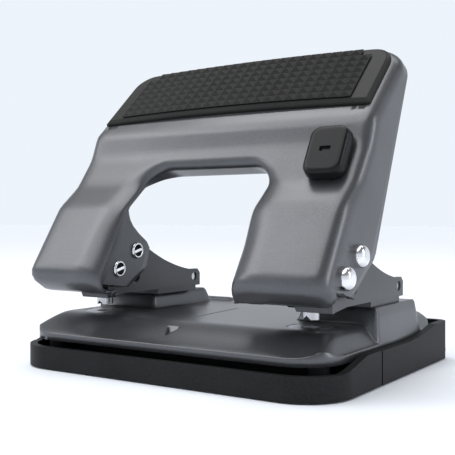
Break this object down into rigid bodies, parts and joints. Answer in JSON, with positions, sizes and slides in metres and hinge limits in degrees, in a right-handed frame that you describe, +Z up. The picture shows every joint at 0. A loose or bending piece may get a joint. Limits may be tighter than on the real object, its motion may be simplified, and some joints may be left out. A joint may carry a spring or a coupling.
{
  "type": "hole punch",
  "caption": "Two-hole desk paper punch with a looped metal lever handle, studded rubber grip, lock button and a pull-out chip tray.",
  "frame": {"origin": "on the table under the middle of the base's plan outline", "axes": "+X to the right along the row of holes, +Y to the back away from the paper side, +Z up"},
  "size_m": [0.1168, 0.0946, 0.1046],
  "materials": {
    "grey_paint": "satin",
    "bracket_paint": "satin",
    "guide_black": "satin",
    "grip_rubber": "matte",
    "foot_rubber": "matte",
    "black_plastic": "matte",
    "lock_plastic": "gloss",
    "bright_screws": "polished",
    "hard_steel": "ground",
    "die_steel": "satin",
    "spring_steel": "bright"
  },
  "bodies": {
    "base": {"base_plate": "grey_paint", "bracket_left": "bracket_paint", "bracket_right": "bracket_paint", "bracket_rivets_left": "bright_screws", "bracket_rivets_right": "bright_screws", "die_ring_left": "die_steel", "die_ring_right": "die_steel", "pivot_sleeve_left": "bright_screws", "pivot_sleeve_right": "bright_screws", "punch_guide_left": "guide_black", "punch_guide_right": "guide_black", "return_spring_left": "spring_steel", "return_spring_right": "spring_steel", "rubber_feet": "foot_rubber", "tail_pin_left": "guide_black", "tail_pin_right": "guide_black", "tray_body": "black_plastic", "tray_screws": "bright_screws"},
    "handle": {"handle_shell": "grey_paint", "grip_pad": "grip_rubber", "pivot_barrel_left": "bright_screws", "pivot_barrel_right": "bright_screws", "pusher_barrel_left": "bright_screws", "pusher_barrel_right": "bright_screws", "pivot_screw_left": "bright_screws", "pivot_screw_right": "bright_screws", "pusher_screw_left": "bright_screws", "pusher_screw_right": "bright_screws", "pusher_roller_left": "hard_steel", "pusher_roller_right": "hard_steel"},
    "lock": {"lock_button": "lock_plastic", "lock_slider": "spring_steel"},
    "punch_left": {"punch_pin_left": "hard_steel", "punch_cap_left": "hard_steel"},
    "punch_right": {"punch_pin_right": "hard_steel", "punch_cap_right": "hard_steel"},
    "chip_tray": {"chip_tray": "black_plastic"}
  },
  "joints": [
    {"name": "handle_hinge", "type": "hinge", "parent": "base", "child": "handle", "pos_m": [0, -0.0318, 0.0323], "axis": [-1, 0, 0], "range_deg": [0, 42], "stiffness_Nm_per_rad": 0.3, "springref_deg": -28.65},
    {"name": "punch_left_slide", "type": "slide", "parent": "base", "child": "punch_left", "axis": [0, 0, -1], "range_m": [0, 0.0076], "deforming": ["return_spring_left"]},
    {"name": "punch_right_slide", "type": "slide", "parent": "base", "child": "punch_right", "axis": [0, 0, -1], "range_m": [0, 0.0076], "deforming": ["return_spring_right"]},
    {"name": "lock_slide", "type": "slide", "parent": "handle", "child": "lock", "axis": [0, -0.4848, -0.8746], "range_m": [0, 0.0024]},
    {"name": "chip_tray_slide", "type": "slide", "parent": "base", "child": "chip_tray", "axis": [0, 1, 0], "range_m": [0, 0.045]}
  ],
  "couplings": [
    {"joint": "punch_left_slide", "follows": "handle_hinge", "m_per_rad": 0.01025},
    {"joint": "punch_right_slide", "follows": "handle_hinge", "m_per_rad": 0.01025}
  ]
}
